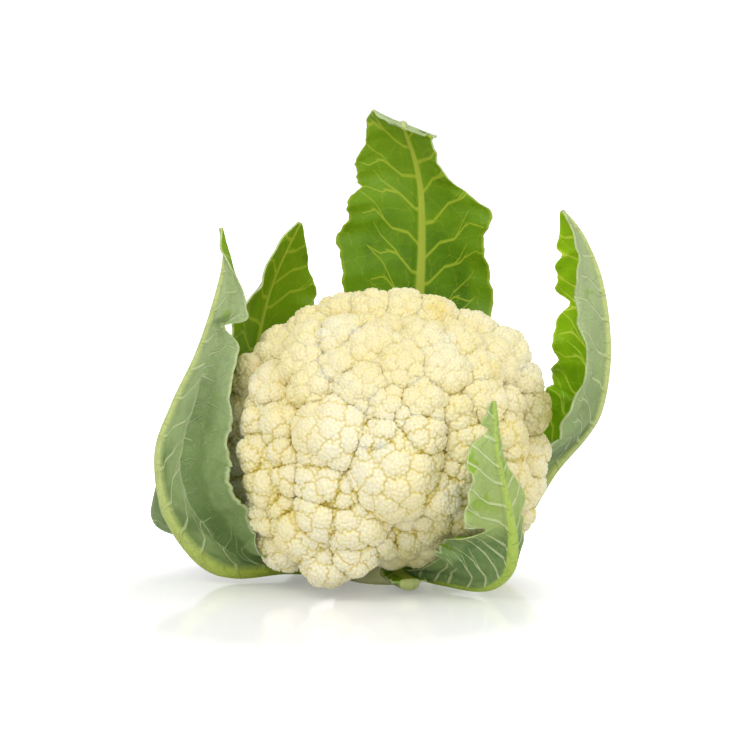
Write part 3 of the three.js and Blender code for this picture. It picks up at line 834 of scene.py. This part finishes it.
class Graph:
    """Short way to write shader nodes: each method adds a node and gives its output."""

    def __init__(self, tree):
        self.tree = tree

    def node(self, kind, inputs=(), **settings):
        made = self.tree.nodes.new(kind)
        for name, value in settings.items():
            setattr(made, name, value)
        for key, value in dict(inputs).items():
            self.put(made.inputs[key], value)
        return made

    def put(self, socket, value):
        if isinstance(value, bpy.types.NodeSocket):
            self.tree.links.new(value, socket)
        else:
            socket.default_value = value

    def place(self):
        return self.node("ShaderNodeTexCoord").outputs["Object"]

    def seen(self):
        """1 for what the camera sees itself, and 0 for light on its way between surfaces."""
        return self.node("ShaderNodeLightPath").outputs["Is Camera Ray"]

    def split_colour(self, value):
        return self.node("ShaderNodeSeparateColor", {"Color": value}).outputs[:3]

    def split_vector(self, value):
        return self.node("ShaderNodeSeparateXYZ", {"Vector": value}).outputs[:3]

    def math(self, operation, *values):
        made = self.node("ShaderNodeMath", operation=operation)
        for socket, value in zip(made.inputs, values):
            self.put(socket, value)
        return made.outputs[0]

    def plus(self, first, second):
        return self.math("ADD", first, second)

    def minus(self, first, second):
        return self.math("SUBTRACT", first, second)

    def times(self, first, second):
        return self.math("MULTIPLY", first, second)

    def larger(self, first, second):
        return self.math("MAXIMUM", first, second)

    def band(self, value, low, high, bottom=0.0, top=1.0):
        """Smooth step from bottom, where the value is low, to top, where it is high."""
        inputs = {"Value": value, "From Min": low, "From Max": high, "To Min": bottom, "To Max": top}
        return self.node("ShaderNodeMapRange", inputs, interpolation_type="SMOOTHSTEP").outputs[0]

    def mix(self, factor, first, second):
        made = self.node("ShaderNodeMix", data_type="RGBA", blend_type="MIX")
        self.put(made.inputs[0], factor)
        self.put(made.inputs[6], first)
        self.put(made.inputs[7], second)
        return made.outputs[2]

    def noise(self, vector, scale, detail=3.0, roughness=0.5):
        inputs = {"Vector": vector, "Scale": scale, "Detail": detail, "Roughness": roughness}
        return self.node("ShaderNodeTexNoise", inputs).outputs[0]

    def cell_edges(self, vector, scale):
        """Distance to the borders of flat cells."""
        kind = {"feature": "DISTANCE_TO_EDGE", "voronoi_dimensions": "2D"}
        made = self.node("ShaderNodeTexVoronoi", {"Vector": vector, "Scale": scale}, **kind)
        return made.outputs["Distance"]

    def bump(self, height, strength, distance, normal=None):
        inputs = {"Height": height, "Strength": strength, "Distance": distance}
        if normal is not None:
            inputs["Normal"] = normal
        return self.node("ShaderNodeBump", inputs).outputs[0]


def new_material(name):
    material = bpy.data.materials.new(name)
    material.use_nodes = True
    shader = next(n for n in material.node_tree.nodes if n.type == "BSDF_PRINCIPLED")
    return material, Graph(material.node_tree), shader


def let_light_in(shader, weight, radius, scale):
    shader.inputs["Subsurface Weight"].default_value = weight
    shader.inputs["Subsurface Radius"].default_value = radius
    shader.inputs["Subsurface Scale"].default_value = scale


# The crease, gap and spot colours are painted shade: a deeper yellow where shade falls in the creases, in
# the gaps and on shaded florets.
CURD_COLOURS = {
    "cream": colour(243, 237, 208),
    "warm": colour(240, 228, 176),
    "stain": colour(228, 208, 110),
    "crease_shade": colour(228, 208, 92),
    "gap_shade": colour(214, 192, 66),
    "spot_shade": colour(150, 146, 34),
}


def curd_colour(graph, place):
    """Cream, warmer in patches and stained at the top, with painted shade: yellow in the creases and gaps
    and dull in spots.
    """
    painted_shade_masks = graph.node("ShaderNodeAttribute", attribute_name="painted_shade_masks").outputs
    bud_crease, small_crease, gap_shade = graph.split_colour(painted_shade_masks["Color"])
    height = graph.split_vector(place)[2]
    warm = graph.plus(graph.noise(place, 28, 2), graph.band(height, 0.05, 0.14, 0.0, 0.2))
    base = graph.mix(graph.band(warm, 0.35, 0.8), CURD_COLOURS["cream"], CURD_COLOURS["warm"])
    stain = graph.times(graph.band(graph.noise(place, 40, 3), 0.6, 0.75), graph.band(height, 0.09, 0.12))
    base = graph.mix(graph.times(stain, 0.7), base, CURD_COLOURS["stain"])
    # Painted shade in the bud and small-floret creases.
    bud_shade = graph.times(graph.band(bud_crease, 0.3, 1.0), 0.45)
    small_shade = graph.times(graph.band(small_crease, 0.15, 0.9), 0.7)
    base = graph.mix(graph.larger(bud_shade, small_shade), base, CURD_COLOURS["crease_shade"])
    # Painted shade in the gaps between main florets.
    base = graph.mix(graph.times(graph.band(gap_shade, 0.35, 1.0), 0.8), base, CURD_COLOURS["gap_shade"])
    # Painted shade on the shaded florets, broken up by noise.
    speckle = graph.band(graph.noise(place, 250, 3), 0.3, 0.6, 0.7, 1.0)
    return graph.mix(graph.times(painted_shade_masks["Alpha"], speckle), base, CURD_COLOURS["spot_shade"])


def curd_material():
    material, graph, shader = new_material("curd_cream")
    place = graph.place()
    graph.put(shader.inputs["Base Color"], curd_colour(graph, place))
    shader.inputs["Roughness"].default_value = 0.6
    let_light_in(shader, 0.4, (1.0, 0.85, 0.25), 0.003)
    grain = graph.node("ShaderNodeTexVoronoi", {"Vector": place, "Scale": 800.0}).outputs["Distance"]
    relief = graph.bump(grain, 0.4, 0.0005)
    graph.put(shader.inputs["Normal"], graph.bump(graph.noise(place, 1400, 2), 0.1, 0.0003, relief))
    return material


def vein_line(graph, off, spacing, half):
    """1 on a side vein and 0 away from it. off is how far off it is, as a share of the spacing."""
    distance = graph.times(graph.math("ABSOLUTE", off), graph.times(spacing, VEIN_SLANT))
    return graph.minus(1.0, graph.band(graph.math("DIVIDE", distance, half), 0.5, 1.6))


def vein_places(graph, along, across, slope, spacing):
    """How far off the nearest side vein's middle each place is, and that vein's own draws."""
    away = graph.math("ABSOLUTE", across)
    side = graph.math("GREATER_THAN", across, 0.0)
    rise = graph.times(away, graph.plus(slope, graph.times(away, VEIN_CURVE)))
    number = graph.math("DIVIDE", graph.minus(along, rise), spacing)
    number = graph.plus(number, graph.times(side, VEIN_SIDE_SHIFT))
    key = graph.node("ShaderNodeCombineXYZ", {"X": graph.math("FLOOR", number), "Y": side}).outputs[0]
    draws = graph.node("ShaderNodeTexWhiteNoise", {"Vector": key}, noise_dimensions="2D")
    draws = graph.split_colour(draws.outputs["Color"])
    zigzag = graph.math("PINGPONG", graph.plus(graph.times(away, VEIN_BENDS), draws[1]), 0.5)
    shift = graph.times(graph.minus(draws[0], 0.5), VEIN_DRIFT)
    shift = graph.plus(shift, graph.times(graph.minus(zigzag, 0.25), VEIN_ZIGZAG))
    off = graph.minus(graph.minus(graph.math("FRACT", number), 0.5), shift)
    return off, draws


def forked_veins(graph, away, off, spacing, start):
    """Side veins that thin out, end past their start of forking and go on as two forks."""
    half = graph.band(away, 0.0, VEIN_THIN_AT, *VEIN_HALF_WIDTHS)
    past = graph.minus(away, start)
    veins = graph.times(vein_line(graph, off, spacing, half), graph.band(past, 0.6, 0.9, 1.0, 0.0))
    for later, turn in FORKS:
        beyond = graph.minus(away, graph.plus(start, later))
        spread = graph.times(graph.larger(beyond, 0.0), turn)
        fork = vein_line(graph, graph.minus(off, spread), spacing, graph.times(half, FORK_WIDTH))
        veins = graph.larger(veins, graph.times(fork, graph.band(beyond, 0.0, 0.1)))
    return veins


def vein_group():
    """Veins of a leaf from its flat coordinates in centimetres: x along the midrib and y across from it."""
    group = bpy.data.node_groups.new("leaf_veins", "ShaderNodeTree")
    group.interface.new_socket("Flat", in_out="INPUT", socket_type="NodeSocketVector")
    for name in ("Slope", "Spacing"):
        group.interface.new_socket(name, in_out="INPUT", socket_type="NodeSocketFloat")
    for name in ("Veins", "Net"):
        group.interface.new_socket(name, in_out="OUTPUT", socket_type="NodeSocketFloat")
    graph = Graph(group)
    flat, slope, spacing = graph.node("NodeGroupInput").outputs[:3]
    along, across, _ = graph.split_vector(flat)
    away = graph.math("ABSOLUTE", across)
    off, draws = vein_places(graph, along, across, slope, spacing)
    veins = forked_veins(graph, away, off, spacing, graph.plus(1.0, draws[2]))
    wobble = graph.node("ShaderNodeTexNoise", {"Vector": flat, "Scale": 1.2}).outputs["Color"]
    moved = graph.node("ShaderNodeVectorMath", {0: flat, 1: wobble}, operation="ADD").outputs[0]
    links = graph.minus(1.0, graph.band(graph.cell_edges(moved, LINK_CELLS), 0.004, 0.022))
    net = graph.minus(1.0, graph.band(graph.cell_edges(moved, NET_CELLS), 0.0, 0.08))
    output = graph.node("NodeGroupOutput")
    graph.put(output.inputs[0], graph.larger(veins, graph.times(links, LINK_STRENGTH)))
    graph.put(output.inputs[1], net)
    return group


FOLD_SHADE = colour(74, 102, 40)
SPOT_GREEN = colour(134, 172, 18)


def blade_colour(graph, place, look, share, height):
    """Green of the blade: patches, lighter towards the margin and the top, with yellow-green spots."""
    patches = graph.band(graph.noise(place, 45, 4, 0.6), 0.3, 0.7)
    patches = graph.larger(patches, graph.times(graph.band(share, 0.6, 0.75), 0.8))
    blade = graph.mix(patches, look["blade"], look["blade_light"])
    blade = graph.mix(graph.band(height, *look["top_band"], 0.0, 0.75), blade, look["blade_top"])
    spots = graph.times(graph.band(graph.noise(place, 70, 2), 0.58, 0.64), graph.band(height, 0.5, 0.8))
    return graph.mix(graph.times(spots, look["spots"]), blade, SPOT_GREEN)


def fold_shade_and_highlight(graph, place, look, share, height, blade):
    """Blade with painted shade past the fold in the middle of the width, and a painted highlight on the
    ridge just before it.
    """
    fold_shade_mask = graph.times(graph.band(share, 0.45, 0.51), graph.band(share, 0.6, 1.0, 1.0, 0.5))
    fold_shade_mask = graph.times(fold_shade_mask, graph.band(graph.noise(place, 90, 3), 0.35, 0.65, 0.4, 1.0))
    fold_shade_mask = graph.times(fold_shade_mask, graph.band(height, 0.55, 0.8, 1.0, 0.2))
    blade = graph.mix(graph.times(fold_shade_mask, look["fold"]), blade, FOLD_SHADE)
    ridge_highlight = graph.times(graph.band(share, 0.41, 0.45), graph.band(share, 0.45, 0.5, 1.0, 0.0))
    return graph.mix(graph.times(ridge_highlight, look["fold"]), blade, look["vein"])


def leaf_relief(graph, place, look, share, vein, net):
    """Normal with the veins, the crinkles between them and a fine grain."""
    raised = graph.plus(vein, graph.times(net, 0.25))
    raised = graph.plus(raised, graph.times(graph.noise(place, 120, 2), 1.5))
    relief = graph.bump(raised, look["relief"], 0.0008)
    crinkle = graph.times(graph.noise(place, 110, 3), graph.band(share, 0.4, 0.7, 0.3, 1.0))
    relief = graph.bump(crinkle, look["crinkle"], 0.004, relief)
    return graph.bump(graph.noise(place, 300, 3), 0.15, 0.0008, relief)


def leaf_material(name, veins, look):
    """Face of a leaf. look gives its colours, roughness, how far the veins stand out and how strong the
    painted fold shade and ridge highlight are.
    """
    material, graph, shader = new_material(name)
    place = graph.place()
    flat = graph.node("ShaderNodeUVMap", uv_map="centimetres").outputs[0]
    where = graph.node("ShaderNodeAttribute", attribute_name="leaf_place").outputs["Color"]
    off_rib, share, height = graph.split_colour(where)
    group = graph.node("ShaderNodeGroup", node_tree=veins)
    for socket, value in zip(group.inputs, (flat, look["vein_slope"], look["vein_spacing"])):
        graph.put(socket, value)
    vein, net = group.outputs[0], group.outputs[1]
    blade = blade_colour(graph, place, look, share, height)
    blade = graph.mix(graph.times(net, 0.12), blade, look["vein"])
    blade = graph.mix(graph.times(vein, look["vein_share"]), blade, look["vein"])
    # Painted shade past the fold and a painted highlight on its ridge.
    blade = fold_shade_and_highlight(graph, place, look, share, height, blade)
    blade = graph.mix(graph.band(share, 0.95, 0.99, 0.0, 0.6), blade, look["vein"])
    ribbed = graph.mix(graph.band(height, 0.05, 0.5), look["rib_low"], look["rib"])
    edge = look["rib_edge"]
    on_rib = graph.minus(1.0, graph.band(off_rib, edge - RIB_BLUR, edge + RIB_BLUR))
    graph.put(shader.inputs["Base Color"], graph.mix(on_rib, blade, ribbed))
    shader.inputs["Roughness"].default_value = look["roughness"]
    shader.inputs["Specular IOR Level"].default_value = look["specular"]
    let_light_in(shader, 0.25, (0.5, 1.0, 0.2), 0.002)
    graph.put(shader.inputs["Normal"], leaf_relief(graph, place, look, share, vein, net))
    return material


def stem_material():
    """Pale, with green streaks."""
    material, graph, shader = new_material("stem_pale")
    streaks = graph.noise(graph.place(), 90, 4)
    pale = graph.mix(graph.band(streaks, 0.35, 0.7), colour(208, 212, 150), colour(232, 228, 190))
    graph.put(shader.inputs["Base Color"], pale)
    shader.inputs["Roughness"].default_value = 0.55
    graph.put(shader.inputs["Normal"], graph.bump(streaks, 0.2, 0.001))
    return material


def floor_material():
    """Glossy white, with a painted glow seen only by the camera that grows with distance from the head, so
    the floor fades into the white surroundings and hides shade away from the head.
    """
    material, graph, shader = new_material("floor_white")
    ends = {0: graph.place(), 1: GLOW_CENTRE}
    distance = graph.node("ShaderNodeVectorMath", ends, operation="DISTANCE").outputs["Value"]
    shader.inputs["Base Color"].default_value = (0.9, 0.9, 0.9, 1)
    shader.inputs["Roughness"].default_value = 0.1
    shader.inputs["Specular IOR Level"].default_value = 0.25
    shader.inputs["Emission Color"].default_value = (1, 1, 1, 1)
    # Painted light: the glow whitens the floor and covers shadows cast away from the head.
    painted_glow = graph.band(distance, 0.09, 0.17, 0.25, 1.0)
    graph.put(shader.inputs["Emission Strength"], graph.times(graph.seen(), painted_glow))
    return material


OUTER_LOOK = {
    "blade": colour(92, 118, 54),
    "blade_light": colour(142, 166, 102),
    "blade_top": colour(186, 202, 148),
    "top_band": (0.4, 0.85),
    "vein": colour(204, 216, 160),
    "vein_share": 0.7,
    "vein_slope": 0.95,
    "vein_spacing": 1.7,
    "rib": colour(196, 208, 134),
    "rib_low": colour(172, 190, 52),
    "rib_edge": 0.46,
    "spots": 0.5,
    "fold": 0.0,
    "crinkle": 0.5,
    "relief": 0.8,
    "specular": 0.3,
    "roughness": 0.55,
}
# The left leaf's outer face, with painted shade past its fold and a painted highlight on its ridge.
LEFT_LOOK = {**OUTER_LOOK, "fold": 0.55}
FRONT_LOOK = {
    **OUTER_LOOK,
    "blade": colour(92, 122, 64),
    "blade_light": colour(134, 160, 98),
    "blade_top": colour(178, 198, 114),
    "top_band": (0.47, 0.6),
    "vein": colour(210, 222, 164),
    "vein_share": 0.75,
    "vein_spacing": 1.1,
    "rib": colour(178, 202, 92),
    "rib_low": colour(170, 194, 60),
    "rib_edge": 0.28,
    "spots": 0.9,
}
INNER_LOOK = {
    "blade": colour(78, 120, 4),
    "blade_light": colour(108, 148, 10),
    "blade_top": colour(120, 156, 12),
    "top_band": (0.4, 0.85),
    "vein": colour(164, 182, 48),
    "vein_share": 0.85,
    "vein_slope": 0.6,
    "vein_spacing": 1.6,
    "rib": colour(168, 184, 60),
    "rib_low": colour(190, 204, 96),
    "rib_edge": 0.24,
    "spots": 0.0,
    "fold": 0.0,
    "crinkle": 0.25,
    "relief": -0.4,
    "specular": 0.2,
    "roughness": 0.42,
}
# Painted light: a brighter copy of the inner face's greens for the right leaf, standing in for the light
# that shines through it.
INNER_LOOK_LIT = {
    **INNER_LOOK,
    "blade": colour(106, 156, 4),
    "blade_light": colour(142, 190, 8),
    "blade_top": colour(156, 200, 10),
    "vein": colour(206, 222, 84),
}


# Stage


def make_floor():
    bm = bmesh.new()
    bmesh.ops.create_grid(bm, x_segments=1, y_segments=1, size=FLOOR_REACH)
    new_object("floor", bm, floor_material())


def add_light(name, place, size, power):
    """Square soft light at a place, turned to the head."""
    data = bpy.data.lights.new(name, "AREA")
    data.shape = "SQUARE"
    data.size = size
    data.energy = power
    light = bpy.data.objects.new(name, data)
    light.location = place
    light.rotation_euler = (Vector(LIGHT_TARGET) - Vector(place)).to_track_quat("-Z", "Y").to_euler()
    bpy.context.scene.collection.objects.link(light)


def light_scene():
    """White surroundings, brighter to the camera than as a light, and the soft lights."""
    world = bpy.data.worlds.new("studio")
    world.use_nodes = True
    graph = Graph(world.node_tree)
    background = next(n for n in world.node_tree.nodes if n.type == "BACKGROUND")
    background.inputs["Color"].default_value = (1, 1, 1, 1)
    strength = graph.band(graph.seen(), 0.0, 1.0, WORLD_AS_LIGHT, WORLD_TO_CAMERA)
    graph.put(background.inputs["Strength"], strength)
    bpy.context.scene.world = world
    for name, light in LIGHTS.items():
        add_light(name, **light)


def make_camera():
    elevation = math.radians(VIEW_ELEVATION)
    target = Vector(VIEW_TARGET * MM)
    forward = Vector((0, math.cos(elevation), -math.sin(elevation)))
    data = bpy.data.cameras.new("camera")
    data.lens = VIEW_LENS
    data.sensor_width = VIEW_SENSOR
    data.clip_end = VIEW_FAR
    data.dof.use_dof = False
    camera = bpy.data.objects.new("camera", data)
    camera.location = target - forward * VIEW_DISTANCE * MM
    camera.rotation_euler = forward.to_track_quat("-Z", "Y").to_euler()
    bpy.context.scene.collection.objects.link(camera)
    bpy.context.scene.camera = camera


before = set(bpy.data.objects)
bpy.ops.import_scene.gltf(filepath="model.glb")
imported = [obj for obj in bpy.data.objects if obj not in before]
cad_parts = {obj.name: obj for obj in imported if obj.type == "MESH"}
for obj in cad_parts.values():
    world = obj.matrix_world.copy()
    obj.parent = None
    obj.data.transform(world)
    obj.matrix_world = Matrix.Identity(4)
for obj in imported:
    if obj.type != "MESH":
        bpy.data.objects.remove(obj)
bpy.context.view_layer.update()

curd_cream = curd_material()
stem_pale = stem_material()
veins = vein_group()
leaf_outer = leaf_material("leaf_outer", veins, OUTER_LOOK)
leaf_outer_left = leaf_material("leaf_outer_left", veins, LEFT_LOOK)
leaf_outer_front = leaf_material("leaf_outer_front", veins, FRONT_LOOK)
leaf_inner = leaf_material("leaf_inner", veins, INNER_LOOK)
leaf_inner_painted_light = leaf_material("leaf_inner_painted_light", veins, INNER_LOOK_LIT)

make_curd(curd_cream)
make_stem(stem_pale)
for name, leaf in LEAVES.items():
    outer = {"leaf_left": leaf_outer_left, "leaf_front": leaf_outer_front}.get(name, leaf_outer)
    # The right leaf's inner face takes the copy with painted light.
    inner = leaf_inner_painted_light if name == "leaf_right" else leaf_inner
    make_leaf(name, leaf, [outer, inner])

make_floor()
light_scene()
make_camera()
bpy.context.scene.view_settings.view_transform = "Standard"
